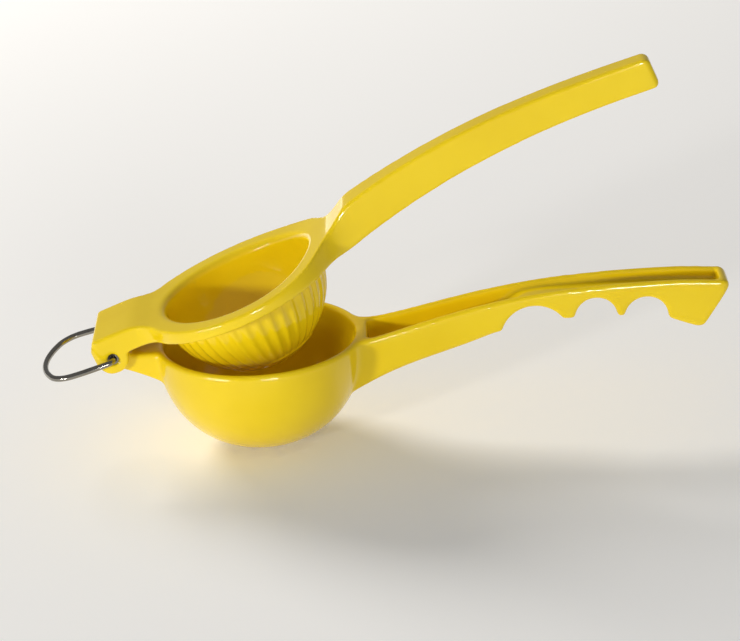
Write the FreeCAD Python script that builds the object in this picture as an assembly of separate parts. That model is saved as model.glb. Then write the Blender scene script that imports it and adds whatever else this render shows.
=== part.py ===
import FreeCAD, Part
import math
import os

V = FreeCAD.Vector

# ---------------------------------------------------------------------------
# Hinged lemon squeezer, millimetres, +Z up.
# Row origin: centre of the small flat foot under the strainer bowl.
# +X runs from the bowl along the handles, +Y is the hinge axis direction.
# Everything below is first laid out in the rim frame, whose z = 0 is the plane
# through the widest part of the bowl's rim, and lifted by RIM_Z at the end.
# The upper lever is laid out shut on the bowl and then opened about the pin.
# ---------------------------------------------------------------------------

RIM_Z = 36.2                 # height of the rim plane above the foot
REST_OPEN_DEG = 20.587       # opening of the upper lever in the stored pose

# strainer bowl
BOWL_R = 35.0                # outer radius at the rim
BOWL_D = 36.84               # depth of the outer surface if it had no foot
BOWL_P = 2.23                # superellipse exponent of the section
BOWL_WALL = 2.9
RIM_TOP = 0.5                # top of the rim above the rim plane
RIM_ROUND = 1.3
FOOT_R = 8.0
DRAIN_D = 3.0                # drain holes in three rings
DRAIN_RINGS = ((4.8, 4), (9.6, 8), (14.4, 12))

# hinge
PIN_X, PIN_Z = -48.0, 0.8
PIN_OD, PIN_ID, PIN_LEN = 3.6, 2.5, 27.6
KNUCKLE_R, KNUCKLE_HALF = 5.0, 10.9
NECK_FILLET = 2.5            # neck sides into the bowl
ROOT_FILLET = ((0.45, 6.5), (-1.0, 6.5), (-4.0, 6.3), (-7.0, 5.9), (-10.0, 5.2), (-13.0, 4.0), (-15.6, 2.2))
ROOT_HALF = 10.75            # side of the handle where the root fillet meets it
KEEL_ROUND = 1.5             # lower edges of the handle
RUN_CLEAR = 0.06             # radial clearance of the knuckle on the pin
LUG_IN, LUG_OUT = 11.25, 14.2
SLOT_R = 5.5

# lower handle: (x, value) tables in the rim frame
RAIL_TOP = ((28, 0.5), (31, 0.5), (34, 0.52), (37, 0.72), (40, 1.16), (45, 2.2), (50, 3.36),
            (60, 5.75), (70, 7.96), (80, 9.81), (90, 11.23), (100, 12.24), (110, 12.91),
            (120, 13.3), (130, 13.45), (140, 13.29), (148, 12.82), (153.6, 12.3))
KEEL = ((26, -20.9), (30, -18.65), (35, -16.0), (40, -13.77), (45, -11.87), (50, -10.22),
        (55, -8.73), (60, -7.32), (65, -5.91), (70, -4.42), (75, -2.76), (80, -1.1))
LOW_HALF = ((24, 10.95), (30, 10.9), (36, 10.72), (40, 10.26), (45, 9.68), (50, 9.2), (60, 8.54),
            (70, 8.1), (80, 7.84), (90, 7.69), (100, 7.6), (110, 7.52), (120, 7.45),
            (130, 7.38), (140, 7.32), (154.4, 7.2))
CHANNEL_FLOOR = ((36.0, -12.4), (40, -10.9), (45, -9.0), (50, -7.4), (55, -5.9), (60, -4.5), (65, -3.1),
                 (70, -1.5), (75, 0.7), (79, 3.2), (83, 6.1), (87, 8.3), (92, 9.4),
                 (100, 9.9), (110, 10.2), (120, 10.2), (130, 9.9), (140, 9.4), (154, 8.65))
WALL = 2.5                   # side walls of the handle channel
CHANNEL_X0, CHANNEL_X1 = 36.3, 153.6
NOTCHES = ((92.0, -4.0, 11.3), (112.6, 1.7, 7.0), (129.3, 0.8, 7.2))   # centre x, z and radius

# upper lever, shut: (x, value) tables in the rim frame
FLANGE_CX, FLANGE_R = -0.9, 34.8
FLANGE_BOTTOM = 1.0
CUP_CX, CUP_R, CUP_D, CUP_P = -1.1, 28.65, 28.2, 1.87
CUP_WALL = 2.4
MOUTH_R = 26.3
MOUTH_ROUND = 2.4            # lip of the cup
FLUTES, FLUTE_DEPTH, FLUTE_WIDTH = 40, 0.55, 3.4
UP_TOP = ((-50.6, 8.95), (-47, 8.96), (-43, 8.95), (-39.8, 8.85), (-37, 8.45), (-34.5, 7.8), (-32, 7.15),
          (-29, 6.58), (-26, 6.15), (-22, 5.72), (-17, 5.36), (-10, 5.03), (-3, 4.86), (4, 4.88),
          (11, 5.13), (16, 5.52), (20, 6.08), (24, 6.9), (28, 8.0), (31, 9.0), (33.5, 10.0),
          (36, 11.4), (38.5, 13.1), (41, 14.75), (43.5, 15.85), (47, 16.7), (50, 17.36), (60, 19.23),
          (70, 20.72), (80, 21.82), (90, 22.53), (100, 22.89), (110, 22.91), (120, 22.64),
          (130, 22.13), (140, 21.45), (150.3, 20.62))
UP_BOTTOM = ((150.6, 10.03), (140, 10.79), (130, 11.3), (120, 11.54), (110, 11.49), (100, 11.11),
             (90, 10.38), (80, 9.3), (70, 7.85), (60, 6.06), (50, 3.92), (44, 2.49), (40, 1.5),
             (37, 1.08), (34, 1.0))
LUG_LEFT = ((-50.6, 8.95), (-52.5, 8.1), (-54.0, 5.9), (-54.75, 3.2), (-54.3, 0.2), (-53.0, -2.3), (-51.0, -3.85))
UP_HALF = ((28.5, 18.4), (30.3, 15.0), (32.2, 11.9), (34.4, 9.6), (37, 8.1), (40, 7.1), (44, 6.35),
           (50, 5.8), (60, 5.2), (70, 4.85), (80, 4.65), (100, 4.45), (125, 4.3), (150.3, 4.15))
UP_END_X = 152.3
LUG_CORNER_R = 4.2
FLANGE_FILLET_R = 9.0

# hanging ring
WIRE_R = 1.0
RING_REST_DEG = 14.0         # below the horizontal, pointing away from the bowl
RING_SIDE = 18.2             # half width of the loop at its widest
RING_CORNER_R = 8.5
RING_TIP = 25.0              # pin axis to the wire's centre at the tip
RING_TIP_R = 29.0
RING_SIDE_R = 51.5
RING_BEND_R = 2.2
RING_END = 10.6              # how near the wire's ends come to the middle of the pin


def seg(a, b):
    return Part.LineSegment(a, b).toShape()


def arc3(a, b, c):
    return Part.Arc(a, b, c).toShape()


def spline(points, t0=None, t1=None):
    c = Part.BSplineCurve()
    if t0 is not None and t1 is not None:
        c.interpolate(Points=points, InitialTangent=t0, FinalTangent=t1)
    else:
        c.interpolate(Points=points)
    return c.toShape()


def prism(edges, direction):
    return Part.Face(Part.Wire(edges)).extrude(direction)


def revolve(edges, cx):
    f = Part.Face(Part.Wire(edges))
    return f.revolve(V(cx, 0, 0), V(0, 0, 1), 360)


def superellipse(r, depth, p, z0, r_end, n=11, cx=0.0):
    """Section points from the rim (radius r at z0) down to radius r_end."""
    s_end = math.acos(min(1.0, (r_end / r) ** (p / 2.0)))
    pts = []
    for i in range(n):
        a = s_end * i / (n - 1)
        rr = r * math.cos(a) ** (2.0 / p)
        zz = z0 - depth * math.sin(a) ** (2.0 / p) if a > 0 else z0
        pts.append(V(cx + rr, 0, zz))
    return pts


def cyl_y(r, half, x, z):
    return Part.makeCylinder(r, 2 * half, V(x, -half, z), V(0, 1, 0))


# ------------------------------------------------------------- lower lever

def bowl_outer():
    pts = superellipse(BOWL_R, BOWL_D, BOWL_P, 0.0, FOOT_R)
    foot_z = pts[-1].z
    rim0 = RIM_TOP - RIM_ROUND
    pts = [q for q in pts if q.z < rim0 - 1.0]
    start = V(BOWL_R, 0, rim0)
    pts = [start] + pts
    edges = [
        seg(V(0, 0, RIM_TOP), V(BOWL_R - RIM_ROUND, 0, RIM_TOP)),
        arc3(V(BOWL_R - RIM_ROUND, 0, RIM_TOP),
             V(BOWL_R - RIM_ROUND * (1 - math.sqrt(0.5)), 0, RIM_TOP - RIM_ROUND * (1 - math.sqrt(0.5))),
             start),
        spline(pts),
        seg(pts[-1], V(0, 0, foot_z)),
        seg(V(0, 0, foot_z), V(0, 0, RIM_TOP)),
    ]
    return revolve(edges, 0.0), foot_z


def bowl_cavity(foot_z):
    r = BOWL_R - BOWL_WALL
    rim0 = RIM_TOP - RIM_ROUND
    depth = rim0 - (foot_z + BOWL_WALL)
    pts = superellipse(r, depth, BOWL_P, rim0, 0.6)
    pts[-1] = V(0, 0, foot_z + BOWL_WALL)
    k = RIM_ROUND * (1 - math.sqrt(0.5))
    edges = [
        seg(V(0, 0, RIM_TOP + 5), V(r + RIM_ROUND, 0, RIM_TOP + 5)),
        seg(V(r + RIM_ROUND, 0, RIM_TOP + 5), V(r + RIM_ROUND, 0, RIM_TOP)),
        arc3(V(r + RIM_ROUND, 0, RIM_TOP), V(r + k, 0, RIM_TOP - k), V(r, 0, rim0)),
        spline(pts, V(0, 0, -1), V(-1, 0, 0)),
        seg(pts[-1], V(0, 0, RIM_TOP + 5)),
    ]
    return revolve(edges, 0.0)


def arc_on(cx, cz, r, z_from, side_from, z_to, side_to):
    """Arc over the top of a circle between two heights, in the XZ plane."""
    xa = cx + side_from * math.sqrt(r * r - (z_from - cz) ** 2)
    xb = cx + side_to * math.sqrt(r * r - (z_to - cz) ** 2)
    return V(xa, 0, z_from), V(cx, 0, cz + r), V(xb, 0, z_to)


def lower_side_profile():
    top = spline([V(x, 0, z) for x, z in RAIL_TOP], V(1, 0, 0), V(1, 0, -0.1))
    end = [
        arc3(V(153.6, 0, 12.3), V(156.3, 0, 11.7), V(157.1, 0, 9.6)),
        seg(V(157.1, 0, 9.6), V(149.0, 0, -2.55)),
        arc3(V(149.0, 0, -2.55), V(147.3, 0, -3.7), V(145.3, 0, -3.4)),
    ]
    a3, b3, c3 = arc_on(*NOTCHES[2], 0.1, 1, 1.7, -1)
    a2, b2, c2 = arc_on(*NOTCHES[1], 1.7, 1, 2.1, -1)
    a1, b1, c1 = arc_on(*NOTCHES[0], 2.1, 1, -1.1, -1)
    under = [
        spline([V(145.3, 0, -3.4), V(142.6, 0, -2.4), V(139.5, 0, -1.15), a3]),
        arc3(a3, b3, c3), seg(c3, a2), arc3(a2, b2, c2), seg(c2, a1), arc3(a1, b1, c1),
        seg(c1, V(80, 0, -1.1)),
        spline([V(x, 0, z) for x, z in reversed(KEEL)]),
    ]
    start = V(26, 0, 0.5)
    return [seg(start, V(28, 0, 0.5)), top] + end + under + [seg(V(26, 0, KEEL[0][1]), start)]


def lower_plan():
    up = spline([V(x, y, 0) for x, y in LOW_HALF])
    dn = spline([V(x, -y, 0) for x, y in reversed(LOW_HALF)])
    xe, ye = LOW_HALF[-1]
    k = 2.0 * (1 - math.sqrt(0.5))
    xt = xe + 3.2
    return [
        up,
        arc3(V(xe, ye, 0), V(xt - 1.0, ye - 1.0, 0), V(xt, ye - 3.0, 0)),
        seg(V(xt, ye - 3.0, 0), V(xt, -ye + 3.0, 0)),
        arc3(V(xt, -ye + 3.0, 0), V(xt - 1.0, -ye + 1.0, 0), V(xe, -ye, 0)),
        dn,
        seg(V(LOW_HALF[0][0], -LOW_HALF[0][1], 0), V(LOW_HALF[0][0], LOW_HALF[0][1], 0)),
    ]


def channel():
    inner = [(x, y - WALL) for x, y in LOW_HALF if CHANNEL_X0 + 2.5 < x < CHANNEL_X1 - 1.5]
    y0 = 10.62 - WALL
    y1 = 7.2 - WALL
    r = 1.6
    k = r * (1 - math.sqrt(0.5))
    pts = [V(CHANNEL_X0 + r, y0, 0)] + [V(x, y, 0) for x, y in inner] + [V(CHANNEL_X1 - r, y1, 0)]
    up = spline(pts)
    dn = spline([V(q.x, -q.y, 0) for q in reversed(pts)])
    edges = [
        up,
        arc3(V(CHANNEL_X1 - r, y1, 0), V(CHANNEL_X1 - k, y1 - k, 0), V(CHANNEL_X1, y1 - r, 0)),
        seg(V(CHANNEL_X1, y1 - r, 0), V(CHANNEL_X1, -y1 + r, 0)),
        arc3(V(CHANNEL_X1, -y1 + r, 0), V(CHANNEL_X1 - k, -y1 + k, 0), V(CHANNEL_X1 - r, -y1, 0)),
        dn,
        arc3(V(CHANNEL_X0 + r, -y0, 0), V(CHANNEL_X0 + k, -y0 + k, 0), V(CHANNEL_X0, -y0 + r, 0)),
        seg(V(CHANNEL_X0, -y0 + r, 0), V(CHANNEL_X0, y0 - r, 0)),
        arc3(V(CHANNEL_X0, y0 - r, 0), V(CHANNEL_X0 + k, y0 - k, 0), V(CHANNEL_X0 + r, y0, 0)),
    ]
    plan = [e.translated(V(0, 0, -16)) for e in edges]
    plan = prism(plan, V(0, 0, 40))
    fl = [V(x, -20, z) for x, z in CHANNEL_FLOOR]
    side = [spline(fl),
            seg(fl[-1], V(fl[-1].x, -20, 24)),
            seg(V(fl[-1].x, -20, 24), V(fl[0].x, -20, 24)),
            seg(V(fl[0].x, -20, 24), fl[0])]
    side = prism(side, V(0, 40, 0))
    return plan.common(side)


def neck():
    pts = ((-49.0, -4.05), (-44.9, -4.75), (-40.0, -6.7), (-36.8, -8.1), (-33.0, -10.1), (-27.0, -13.6))
    under = spline([V(x, -KNUCKLE_HALF, z) for x, z in pts])
    y = -KNUCKLE_HALF
    edges = [under,
             seg(V(-27.0, y, -13.6), V(-27.0, y, RIM_TOP)),
             seg(V(-27.0, y, RIM_TOP), V(-49.0, y, RIM_TOP)),
             seg(V(-49.0, y, RIM_TOP), V(-49.0, y, -4.05))]
    body = prism(edges, V(0, 2 * KNUCKLE_HALF, 0))
    return body.fuse(cyl_y(KNUCKLE_R, KNUCKLE_HALF, PIN_X, PIN_Z))


def bowl_radius(z):
    """Outer radius of the bowl at a height below the rim plane."""
    t = min(1.0, max(0.0, -z / BOWL_D))
    return BOWL_R * (1.0 - t ** BOWL_P) ** (1.0 / BOWL_P)


def root_fillet(side):
    """Hollow corner between the bowl's wall and one side of the handle, lofted through level sections."""
    wires = []
    for z, f in ROOT_FILLET:
        r = bowl_radius(min(z, -0.8)) - 0.02
        w = ROOT_HALF
        cx = math.sqrt((r + f) ** 2 - (w + f) ** 2)
        line = (cx, w)
        circ = (r / (r + f) * cx, r / (r + f) * (w + f))
        dx, dy = -cx / (r + f), -(w + f) / (r + f)
        mx, my = dx, dy - 1.0
        ml = math.hypot(mx, my)
        bow = (cx + f * mx / ml, w + f + f * my / ml)
        inner = (circ[0] * 0.94, circ[1] * 0.94)
        low = (min(inner[0], cx - 1.0), w - 1.4)
        q = [V(x, side * y, z) for x, y in (line, bow, circ, inner, low, (cx, w - 1.4))]
        wires.append(Part.Wire([arc3(q[0], q[1], q[2]), seg(q[2], q[3]), seg(q[3], q[4]), seg(q[4], q[5]), seg(q[5], q[0])]))
    return Part.makeLoft(wires, True, False)


def mid(e):
    return e.valueAt((e.FirstParameter + e.LastParameter) / 2.0)


def rounded(shape, radius, wanted):
    """The shape with the wanted edges rounded, or as it was where that gives no sound solid."""
    edges = [e for e in shape.Edges if e.Length > 1.0 and wanted(mid(e))]
    if not edges:
        return shape
    try:
        out = shape.makeFillet(radius, edges)
    except Exception:
        return shape
    return out if out.isValid() and len(out.Solids) == 1 else shape


def lower_lever():
    bowl, foot_z = bowl_outer()
    side = [e.translated(V(0, -20, 0)) for e in lower_side_profile()]
    plan = [e.translated(V(0, 0, -30)) for e in lower_plan()]
    handle = prism(side, V(0, 40, 0)).common(prism(plan, V(0, 0, 60)))
    body = bowl.fuse([handle, neck(), root_fillet(1), root_fillet(-1)]).removeSplitter()
    body = body.cut([bowl_cavity(foot_z), channel()])
    body = rounded(body, NECK_FILLET, lambda m: abs(abs(m.y) - KNUCKLE_HALF) < 0.1 and -34.5 < m.x < -31 and -9 < m.z < -1)
    body = rounded(body, KEEL_ROUND, lambda m: 50 < m.x < 60 and abs(abs(m.y) - 8.9) < 0.3 and m.z < 0)
    holes = []
    for r, n in DRAIN_RINGS:
        for i in range(n):
            a = 2 * math.pi * (i + 0.5) / n
            holes.append(Part.makeCylinder(DRAIN_D / 2, 14, V(r * math.cos(a), r * math.sin(a), foot_z - 5)))
    holes.append(cyl_y(PIN_OD / 2 + RUN_CLEAR, 20, PIN_X, PIN_Z))
    body = body.cut(holes)
    return body


# ------------------------------------------------------------- upper lever

def upper_side_profile():
    z = FLANGE_BOTTOM
    top = spline([V(x, 0, zz) for x, zz in UP_TOP], V(1, 0, 0), V(1, 0, -0.08))
    lx = PIN_X + math.sqrt(5.25 ** 2 - (z - PIN_Z) ** 2)
    a = math.radians(232)
    p_l = V(LUG_LEFT[-1][0], 0, LUG_LEFT[-1][1])
    return [
        top,
        arc3(V(150.3, 0, 20.62), V(151.75, 0, 19.75), V(152.2, 0, 17.9)),
        seg(V(152.2, 0, 17.9), V(152.3, 0, 12.0)),
        arc3(V(152.3, 0, 12.0), V(151.9, 0, 10.5), V(150.6, 0, 10.03)),
        spline([V(x, 0, zz) for x, zz in UP_BOTTOM], V(-1, 0, 0.06), V(-1, 0, 0)),
        seg(V(34, 0, z), V(lx, 0, z)),
        arc3(V(lx, 0, z), V(PIN_X + 5.25 * math.sin(math.radians(45)), 0, PIN_Z - 5.25 * math.cos(math.radians(45))),
             V(PIN_X, 0, PIN_Z - 5.25)),
        spline([V(PIN_X, 0, PIN_Z - 5.25)] + [V(x, 0, zz) for x, zz in reversed(LUG_LEFT)],
               V(-1, 0, 0), V(1, 0, 0)),
    ]


def upper_plan():
    cx, r, f, yl = FLANGE_CX, FLANGE_R, FLANGE_FILLET_R, LUG_OUT
    fx = cx - math.sqrt((r + f) ** 2 - (yl + f) ** 2)
    ux, uy = (fx - cx) / (r + f), (yl + f) / (r + f)
    t_line = (fx, yl)
    t_circ = (cx + r * ux, r * uy)
    mid_dir = (ux * -1.0, -uy)
    mx, my = mid_dir[0], mid_dir[1] - 1.0
    ml = math.hypot(mx, my)
    t_mid = (fx + f * mx / ml, yl + f + f * my / ml)
    a38 = math.radians(38)
    c_end = (cx + r * math.cos(a38), r * math.sin(a38))
    c_top = (cx, r)
    k = LUG_CORNER_R * (1 - math.sqrt(0.5))
    xl = -54.8
    s = [c_end] + [q for q in UP_HALF]
    xe, ye = UP_HALF[-1]

    def side(sg):
        def w(q):
            return V(q[0], sg * q[1], 0)
        es = [
            seg(w((xl, 0)), w((xl, yl - LUG_CORNER_R))),
            arc3(w((xl, yl - LUG_CORNER_R)), w((xl + k, yl - k)), w((xl + LUG_CORNER_R, yl))),
            seg(w((xl + LUG_CORNER_R, yl)), w(t_line)),
            arc3(w(t_line), w(t_mid), w(t_circ)),
            arc3(w(t_circ), w(c_top), w(c_end)),
            spline([w(q) for q in s], w((math.sin(a38), -math.cos(a38))), w((1, -0.01))),
            arc3(w((xe, ye)), w((xe + 1.5, ye - 0.75)), w((xe + 2.2, ye - 2.4))),
            seg(w((xe + 2.2, ye - 2.4)), w((xe + 2.2, 0))),
        ]
        return es
    a = side(1)
    b = side(-1)
    return a + list(reversed(b))


def cup_outer():
    z0 = FLANGE_BOTTOM + 0.6
    pts = superellipse(CUP_R, CUP_D, CUP_P, z0 - 0.5, 0.6, cx=CUP_CX, n=12)
    pts[-1] = V(CUP_CX, 0, z0 - 0.5 - CUP_D)
    edges = [
        seg(V(CUP_CX, 0, z0), V(CUP_CX + CUP_R, 0, z0)),
        seg(V(CUP_CX + CUP_R, 0, z0), pts[0]),
        spline(pts, V(0, 0, -1), V(-1, 0, 0)),
        seg(pts[-1], V(CUP_CX, 0, z0)),
    ]
    return revolve(edges, CUP_CX)


def cup_cavity():
    z0 = 2.2
    depth = z0 - (FLANGE_BOTTOM + 0.1 - CUP_D + CUP_WALL)
    pts = superellipse(MOUTH_R, depth, CUP_P + 0.08, z0, 0.6, cx=CUP_CX, n=12)
    pts[-1] = V(CUP_CX, 0, z0 - depth)
    edges = [
        seg(V(CUP_CX, 0, 12), V(CUP_CX + MOUTH_R, 0, 12)),
        seg(V(CUP_CX + MOUTH_R, 0, 12), pts[0]),
        spline(pts, V(0, 0, -1), V(-1, 0, 0)),
        seg(pts[-1], V(CUP_CX, 0, 12)),
    ]
    return revolve(edges, CUP_CX)


def flute_tools():
    """Grooves that run down the outside of the cup, one torus arc each."""
    tools = []
    # circle through three points of the cup's section, a little outside it
    def sec(frac):
        a = frac * math.pi / 2
        return (CUP_R * math.cos(a) ** (2 / CUP_P), FLANGE_BOTTOM + 0.1 - CUP_D * math.sin(a) ** (2 / CUP_P))
    (x1, z1), (x2, z2), (x3, z3) = sec(0.10), sec(0.38), sec(0.64)
    d = 2 * (x1 * (z2 - z3) + x2 * (z3 - z1) + x3 * (z1 - z2))
    ux = ((x1 ** 2 + z1 ** 2) * (z2 - z3) + (x2 ** 2 + z2 ** 2) * (z3 - z1) + (x3 ** 2 + z3 ** 2) * (z1 - z2)) / d
    uz = ((x1 ** 2 + z1 ** 2) * (x3 - x2) + (x2 ** 2 + z2 ** 2) * (x1 - x3) + (x3 ** 2 + z3 ** 2) * (x2 - x1)) / d
    big = math.hypot(x1 - ux, z1 - uz)
    h = FLUTE_WIDTH / 2
    g = (h * h + FLUTE_DEPTH ** 2) / (2 * FLUTE_DEPTH)
    for i in range(FLUTES):
        ang = 360.0 * (i + 0.5) / FLUTES
        t = Part.makeTorus(big + g - FLUTE_DEPTH, g, V(ux, 0, uz), V(0, 1, 0))
        keep = Part.makeBox(40, 12, 22, V(ux + 2 if ux > 0 else 2, -6, -21.6))
        t = t.common(keep)
        t.rotate(V(0, 0, 0), V(0, 0, 1), ang)
        t.translate(V(CUP_CX, 0, 0))
        tools.append(t)
    return tools


def upper_lever():
    side = [e.translated(V(0, -50, 0)) for e in upper_side_profile()]
    plan = [e.translated(V(0, 0, -12)) for e in upper_plan()]
    plate = prism(side, V(0, 100, 0)).common(prism(plan, V(0, 0, 50)))
    body = plate.fuse(cup_outer()).removeSplitter()
    slot = Part.makeBox(12, 2 * LUG_IN, 12 + SLOT_R, V(PIN_X - 12, -LUG_IN, PIN_Z - 12))
    slot = slot.fuse(cyl_y(SLOT_R, LUG_IN, PIN_X, PIN_Z))
    slot = slot.fuse(Part.makeBox(6.0, 2 * LUG_IN, 10, V(PIN_X, -LUG_IN, FLANGE_BOTTOM - 10)))
    body = body.cut([cup_cavity(), slot, cyl_y(PIN_OD / 2, 20, PIN_X, PIN_Z)])
    return rounded(body, MOUTH_ROUND, lambda m: abs(math.hypot(m.x - CUP_CX, m.y) - MOUTH_R) < 0.2 and m.z > 3.5)


# ------------------------------------------------------------- pin and ring

def hinge_pin():
    tube = cyl_y(PIN_OD / 2, PIN_LEN / 2, PIN_X, PIN_Z)
    return tube.cut(cyl_y(PIN_ID / 2, PIN_LEN, PIN_X, PIN_Z))


def ring_path():
    """Half of the wire's centre line, as (u, v): u from the pin axis, v along it."""
    u1 = RING_TIP - RING_TIP_R
    cu = u1 + math.sqrt((RING_TIP_R - RING_CORNER_R) ** 2 - (RING_SIDE - RING_CORNER_R) ** 2)
    cv = RING_SIDE - RING_CORNER_R
    # corner arc meets the tip arc on the line of their centres
    dl = math.hypot(cu - u1, cv)
    tu, tv = cu + RING_CORNER_R * (cu - u1) / dl, cv + RING_CORNER_R * cv / dl
    a_t = math.atan2(tv - cv, tu - cu)
    am = (a_t + math.pi / 2) / 2
    # side arc: tangent at (cu, RING_SIDE), centre below it
    sc = (cu, RING_SIDE - RING_SIDE_R)
    # bend: centre (b, ve), tangent to the side arc from inside, ends on u = 0
    b = RING_BEND_R
    ve = sc[1] + math.sqrt((RING_SIDE_R - b) ** 2 - (b - sc[0]) ** 2)
    dl2 = math.hypot(b - sc[0], ve - sc[1])
    bu, bv = sc[0] + RING_SIDE_R * (b - sc[0]) / dl2, sc[1] + RING_SIDE_R * (ve - sc[1]) / dl2
    a_s = (math.atan2(bv - sc[1], bu - sc[0]) + math.pi / 2) / 2
    a_b0 = math.atan2(bv - ve, bu - b)
    a_b = (a_b0 + math.pi) / 2
    return {
        'end': (0, RING_END), 'bend0': (0, ve), 'bendm': (b + b * math.cos(a_b), ve + b * math.sin(a_b)),
        'side0': (bu, bv), 'sidem': (sc[0] + RING_SIDE_R * math.cos(a_s), sc[1] + RING_SIDE_R * math.sin(a_s)),
        'side1': (cu, RING_SIDE), 'cornm': (cu + RING_CORNER_R * math.cos(am), cv + RING_CORNER_R * math.sin(am)),
        'tip0': (tu, tv), 'tip': (RING_TIP, 0), 've': ve,
    }


def hanging_ring():
    q = ring_path()
    a = math.radians(RING_REST_DEG)

    def w(n, s=1):
        u, v = q[n]
        return V(PIN_X - u * math.cos(a), -s * v, PIN_Z - u * math.sin(a))
    edges = [
        seg(w('end'), w('bend0')),
        arc3(w('bend0'), w('bendm'), w('side0')),
        arc3(w('side0'), w('sidem'), w('side1')),
        arc3(w('side1'), w('cornm'), w('tip0')),
        arc3(w('tip0'), w('tip'), w('tip0', -1)),
        arc3(w('tip0', -1), w('cornm', -1), w('side1', -1)),
        arc3(w('side1', -1), w('sidem', -1), w('side0', -1)),
        arc3(w('side0', -1), w('bendm', -1), w('bend0', -1)),
        seg(w('bend0', -1), w('end', -1)),
    ]
    path = Part.Wire(edges)
    circle = Part.Wire(Part.makeCircle(WIRE_R, w('end'), V(0, 1, 0)))
    return path.makePipeShell([circle], True, False, 2)


def main():
    os.makedirs("parts", exist_ok=True)
    low = lower_lever()
    upp = upper_lever()
    upp = upp.cut(flute_tools())
    pin = hinge_pin()
    ring = hanging_ring()
    for s in (upp,):
        s.rotate(V(PIN_X, 0, PIN_Z), V(0, -1, 0), REST_OPEN_DEG)
    parts = {"lower_lever": low, "upper_lever": upp, "hinge_pin": pin, "hanging_ring": ring}
    for name, s in parts.items():
        s = s.copy()
        s.translate(V(0, 0, RIM_Z))
        if s.ShapeType == "Compound" and len(s.Solids) == 1:
            s = s.Solids[0]
        b = s.BoundBox
        print("%-14s solids %d valid %s volume %.0f box %.2f %.2f %.2f .. %.2f %.2f %.2f" % (
            name, len(s.Solids), s.isValid(), s.Volume, b.XMin, b.YMin, b.ZMin, b.XMax, b.YMax, b.ZMax))
        s.exportStep("parts/%s.step" % name)


main()
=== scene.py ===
import bpy
import numpy as np
from mathutils import Matrix, Vector


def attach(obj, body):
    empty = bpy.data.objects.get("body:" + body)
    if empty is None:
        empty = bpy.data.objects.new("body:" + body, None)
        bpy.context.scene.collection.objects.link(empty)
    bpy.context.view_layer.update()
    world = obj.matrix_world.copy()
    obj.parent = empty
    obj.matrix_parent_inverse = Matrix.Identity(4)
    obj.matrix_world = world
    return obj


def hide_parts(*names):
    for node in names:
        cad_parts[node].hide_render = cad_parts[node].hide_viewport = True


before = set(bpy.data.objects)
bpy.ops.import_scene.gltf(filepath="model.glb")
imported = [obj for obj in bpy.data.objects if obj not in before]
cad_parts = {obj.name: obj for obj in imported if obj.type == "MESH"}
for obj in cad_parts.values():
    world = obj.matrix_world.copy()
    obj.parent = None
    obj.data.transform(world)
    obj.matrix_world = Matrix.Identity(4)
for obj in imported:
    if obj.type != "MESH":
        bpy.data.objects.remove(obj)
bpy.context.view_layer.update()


# --------------------------------------------------------------------------
# The frame's own numbers, in metres
# --------------------------------------------------------------------------
RIM = 0.0362                       # rim plane above the foot
PIN = np.array([-0.048, 0.0, 0.0370])
OPEN = np.radians(20.587)
CUP_X = -0.0011


def shut(co):
    """Row coordinates of the upper lever turned back to the shut tool, z from the rim plane."""
    c, s = np.cos(-OPEN), np.sin(-OPEN)
    x, z = co[:, 0] - PIN[0], co[:, 2] - PIN[2]
    return np.stack([PIN[0] + c * x - s * z, co[:, 1], PIN[2] + s * x + c * z - RIM], 1)


def coords(mesh):
    co = np.empty(len(mesh.vertices) * 3)
    mesh.vertices.foreach_get("co", co)
    return co.reshape(-1, 3)


def shade_smooth(mesh):
    mesh.polygons.foreach_set("use_smooth", np.ones(len(mesh.polygons), bool))
    mesh.update()


def evaluated(obj):
    bpy.context.view_layer.update()
    dg = bpy.context.evaluated_depsgraph_get()
    return bpy.data.meshes.new_from_object(obj.evaluated_get(dg))


def smooth_step(x, a, b):
    t = np.clip((x - a) / (b - a), 0, 1)
    return t * t * (3 - 2 * t)


def cast_piece(node, name, voxel, passes):
    """A casting with the soft edges of enamel over metal: the CAD solid, remeshed and smoothed.
    passes are (iterations, weights), and weights gives 0 to 1 for each vertex from its place."""
    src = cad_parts[node]
    obj = bpy.data.objects.new(name, src.data.copy())
    bpy.context.scene.collection.objects.link(obj)
    obj.data.materials.clear()
    m = obj.modifiers.new("remesh", "REMESH")
    m.mode = "VOXEL"
    m.voxel_size = voxel
    m.use_smooth_shade = True
    mesh = evaluated(obj)
    obj.modifiers.clear()
    obj.data = mesh
    for iterations, weights in passes:
        w = weights(coords(obj.data))
        g = obj.vertex_groups.new(name="soft")
        step = 50
        levels = np.round(w * step).astype(int)
        for k in np.unique(levels):
            if k > 0:
                g.add(np.nonzero(levels == k)[0].tolist(), float(k) / step, "REPLACE")
        m = obj.modifiers.new("soft", "SMOOTH")
        m.factor = 0.5
        m.iterations = iterations
        m.vertex_group = "soft"
        mesh = evaluated(obj)
        obj.modifiers.clear()
        obj.vertex_groups.clear()
        obj.data = mesh
    shade_smooth(obj.data)
    return obj


# --------------------------------------------------------------------------
# Materials
# --------------------------------------------------------------------------

def srgb(r, g, b):
    def lin(v):
        v /= 255.0
        return v / 12.92 if v <= 0.04045 else ((v + 0.055) / 1.055) ** 2.4
    return (lin(r), lin(g), lin(b), 1.0)


def principled(name):
    mat = bpy.data.materials.new(name)
    mat.use_nodes = True
    nt = mat.node_tree
    return mat, nt, nt.nodes["Principled BSDF"]


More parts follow.
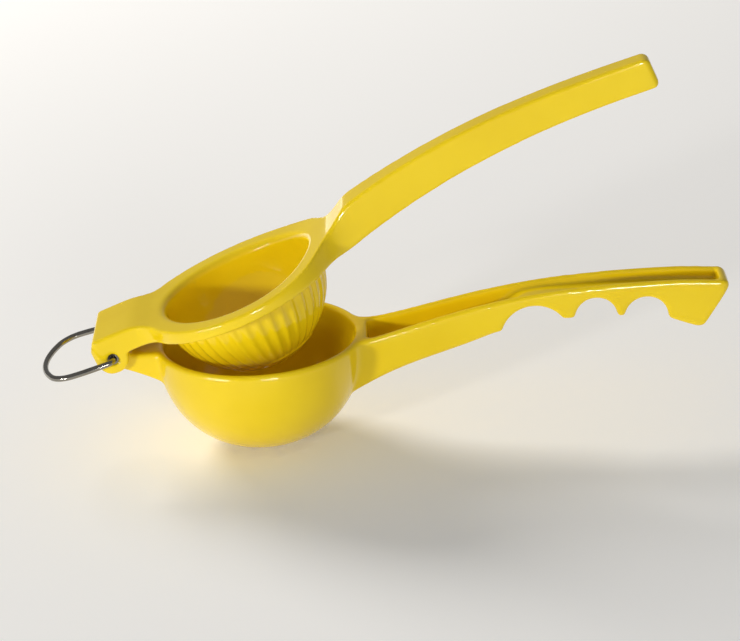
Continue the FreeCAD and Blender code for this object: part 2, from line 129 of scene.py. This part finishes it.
def noise(nt, scale, detail=3.0, rough=0.5):
    tc = nt.nodes.get("tc") or nt.nodes.new("ShaderNodeTexCoord")
    tc.name = "tc"
    n = nt.nodes.new("ShaderNodeTexNoise")
    n.inputs["Scale"].default_value = scale
    n.inputs["Detail"].default_value = detail
    n.inputs["Roughness"].default_value = rough
    nt.links.new(tc.outputs["Object"], n.inputs["Vector"])
    return n


def ramp(nt, source, stops):
    r = nt.nodes.new("ShaderNodeValToRGB")
    cr = r.color_ramp
    cr.elements[0].position, cr.elements[0].color = stops[0]
    cr.elements[1].position, cr.elements[1].color = stops[-1]
    for pos, col in stops[1:-1]:
        e = cr.elements.new(pos)
        e.color = col
    nt.links.new(source, r.inputs["Fac"])
    return r


def span(nt, source, lo, hi):
    m = nt.nodes.new("ShaderNodeMapRange")
    m.inputs["From Min"].default_value = 0.3
    m.inputs["From Max"].default_value = 0.7
    m.inputs["To Min"].default_value = lo
    m.inputs["To Max"].default_value = hi
    nt.links.new(source, m.inputs["Value"])
    return m


def bump(nt, bsdf, heights):
    last = None
    for source, strength, distance in heights:
        b = nt.nodes.new("ShaderNodeBump")
        b.inputs["Strength"].default_value = strength
        b.inputs["Distance"].default_value = distance
        nt.links.new(source, b.inputs["Height"])
        if last is not None:
            nt.links.new(last.outputs["Normal"], b.inputs["Normal"])
        last = b
    nt.links.new(last.outputs["Normal"], bsdf.inputs["Normal"])


def enamel(name):
    mat, nt, p = principled(name)
    tone = noise(nt, 42.0, 3.0, 0.5)
    r = ramp(nt, tone.outputs["Fac"], [
        (0.25, srgb(232, 199, 14)), (0.5, srgb(236, 204, 18)), (0.75, srgb(239, 208, 23))])
    nt.links.new(r.outputs["Color"], p.inputs["Base Color"])
    rough = noise(nt, 160.0, 4.0, 0.6)
    m = span(nt, rough.outputs["Fac"], 0.07, 0.12)
    nt.links.new(m.outputs["Result"], p.inputs["Roughness"])
    p.inputs["Metallic"].default_value = 0.0
    p.inputs["IOR"].default_value = 1.5
    peel = noise(nt, 420.0, 2.0, 0.5)
    grain = noise(nt, 2600.0, 2.0, 0.5)
    bump(nt, p, [(peel.outputs["Fac"], 0.05, 0.0002), (grain.outputs["Fac"], 0.03, 0.00003)])
    return mat


def steel(name, lo, hi, dark):
    mat, nt, p = principled(name)
    tone = noise(nt, 300.0, 4.0, 0.6)
    r = ramp(nt, tone.outputs["Fac"], [
        (0.2, srgb(*dark)), (0.8, srgb(*[min(255, v + 22) for v in dark]))])
    nt.links.new(r.outputs["Color"], p.inputs["Base Color"])
    rough = noise(nt, 900.0, 3.0, 0.6)
    m = span(nt, rough.outputs["Fac"], lo, hi)
    nt.links.new(m.outputs["Result"], p.inputs["Roughness"])
    p.inputs["Metallic"].default_value = 1.0
    wear = noise(nt, 1800.0, 2.0, 0.5)
    bump(nt, p, [(wear.outputs["Fac"], 0.08, 0.00003)])
    return mat


yellow_low = enamel("yellow_enamel_lower")
yellow_up = enamel("yellow_enamel_upper")
wire_steel = steel("polished_wire", 0.08, 0.15, (138, 134, 126))
pin_steel = steel("turned_pin", 0.16, 0.26, (128, 122, 112))

# --------------------------------------------------------------------------
# Pieces
# --------------------------------------------------------------------------

def upper_weights(co):
    q = shut(co)
    r = np.hypot(q[:, 0] - CUP_X, q[:, 1])
    flutes = smooth_step(-q[:, 2], -0.0012, 0.0002) * smooth_step(r, 0.0, 0.004) * (r < 0.0300)
    inside = np.zeros(len(co))
    return np.clip(1.0 - 0.72 * flutes + inside, 0.0, 1.0)


def upper_root(co):
    """1 where the flange runs into the handle."""
    q = shut(co)
    return smooth_step(q[:, 0], 0.024, 0.030) * (1 - smooth_step(q[:, 0], 0.046, 0.056))


def lower_weights(co):
    return np.ones(len(co))


def lower_root(co):
    """1 in the corner between the bowl's wall and the sides of the handle."""
    x, y = co[:, 0], np.abs(co[:, 1])
    z = co[:, 2] - RIM
    r = np.hypot(x, co[:, 1])
    near = np.exp(-(((x - 0.0330) / 0.0050) ** 2) - (((y - 0.0110) / 0.0045) ** 2))
    return np.clip(1.3 * near, 0, 1) * (z < -0.0012) * (r > 0.0325)


upper = cast_piece("upper_lever", "upper_casting", 0.00034, [(7, upper_weights), (30, upper_root)])
lower = cast_piece("lower_lever", "lower_casting", 0.00036, [(9, lower_weights), (60, lower_root)])
for obj, body, node, mat, slot in (
        (upper, "upper_lever", "upper_lever", yellow_up, "enamel_upper"),
        (lower, "lower_lever", "lower_lever", yellow_low, "enamel_lower")):
    obj.data.materials.clear()
    obj.data.materials.append(mat)
    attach(obj, body)
    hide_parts(node)

for node, mat, slot in (("hinge_pin", pin_steel, "steel_pin"), ("hanging_ring", wire_steel, "steel_wire")):
    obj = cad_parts[node]
    obj.data.materials.clear()
    obj.data.materials.append(mat)
    shade_smooth(obj.data)
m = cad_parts["hinge_pin"].modifiers.new("edges", "EDGE_SPLIT")
m.split_angle = np.radians(40)

# --------------------------------------------------------------------------
# Floor, light, camera
# --------------------------------------------------------------------------
bpy.ops.mesh.primitive_plane_add(size=12.0, location=(0.0, 0.0, -0.0004))
floor = bpy.context.object
floor.name = "floor"
fmat, fnt, fp = principled("pale_floor")
fp.inputs["Base Color"].default_value = (0.86, 0.86, 0.855, 1.0)
fp.inputs["Roughness"].default_value = 0.9
fp.inputs["Specular IOR Level"].default_value = 0.1
fp.inputs["Emission Color"].default_value = (1.0, 1.0, 1.0, 1.0)
fp.inputs["Emission Strength"].default_value = 0.12
floor.data.materials.append(fmat)

world = bpy.data.worlds.new("studio")
bpy.context.scene.world = world
world.use_nodes = True
bg = world.node_tree.nodes["Background"]
bg.inputs["Color"].default_value = (1.0, 1.0, 1.0, 1.0)
bg.inputs["Strength"].default_value = 0.23

right = Vector((0.99786615, -0.00893243, -0.06467895))
up = Vector((0.06316244, 0.38303901, 0.92157019))
back = Vector((0.0165427, -0.92368898, 0.38278586))
target = Vector((0.045, 0.0, RIM + 0.005))


def area(name, direction, distance, size, watts, colour=(1, 1, 1)):
    d = Vector(direction).normalized()
    light = bpy.data.lights.new(name, "AREA")
    light.shape = "DISK"
    light.size = size
    light.energy = watts
    light.color = colour
    obj = bpy.data.objects.new(name, light)
    bpy.context.scene.collection.objects.link(obj)
    obj.location = target + d * distance
    obj.rotation_euler = d.to_track_quat("Z", "Y").to_euler()
    return obj


def seen(r, u, b):
    """A direction given as seen in the picture: to the right, up, and towards the viewer."""
    return right * r + up * u + back * b


def strip(name, origin, a, b, distance, width, watts, colour=(1, 1, 1)):
    """A narrow strip light whose long side runs between two directions from a point, given as seen
    in the picture."""
    pa = origin + seen(*a).normalized() * distance
    pb = origin + seen(*b).normalized() * distance
    light = bpy.data.lights.new(name, "AREA")
    light.shape = "RECTANGLE"
    light.size = width
    light.size_y = (pb - pa).length
    light.energy = watts
    light.color = colour
    obj = bpy.data.objects.new(name, light)
    bpy.context.scene.collection.objects.link(obj)
    c = (pa + pb) / 2
    z = (c - origin).normalized()
    y = (pb - pa).normalized()
    x = y.cross(z).normalized()
    y = z.cross(x)
    obj.matrix_world = Matrix(((x.x, y.x, z.x, c.x), (x.y, y.y, z.y, c.y), (x.z, y.z, z.z, c.z), (0, 0, 0, 1)))
    return obj


key = area("key_left", seen(-0.702, -0.20, 0.684), 1.3, 0.12, 7.3, (1.0, 0.99, 0.97))
key.visible_glossy = False
fill = area("fill_front", seen(0.22, -0.23, 0.95), 1.6, 0.5, 7.0)
fill.visible_glossy = False
top = area("fill_top", Vector((-0.52, 0.70, 0.49)), 2.0, 0.9, 34.0, (1.0, 0.96, 0.90))
top.visible_glossy = False
strip("strip_left", target, (-0.521, -0.378, 0.764), (-0.852, -0.272, 0.446), 1.3, 0.024, 7.0)
strip("strip_front", target, (0.10, -0.37, 0.93), (0.32, -0.35, 0.88), 1.5, 0.08, 6.0)
for name in ("strip_left", "strip_front"):
    bpy.data.objects[name].visible_diffuse = False

cam_data = bpy.data.cameras.new("camera")
cam_data.sensor_fit = "HORIZONTAL"
cam_data.sensor_width = 36.0
cam_data.lens = 140.4772866625231
cam_data.clip_start = 0.05
cam_data.clip_end = 30.0
cam = bpy.data.objects.new("camera", cam_data)
bpy.context.scene.collection.objects.link(cam)
cam.matrix_world = Matrix((
    (right.x, up.x, back.x, 0.05335710514),
    (right.y, up.y, back.y, -0.89165966273),
    (right.z, up.z, back.z, 0.37262888 + RIM),
    (0, 0, 0, 1)))
bpy.context.scene.camera = cam
bpy.context.scene.view_settings.view_transform = "Standard"
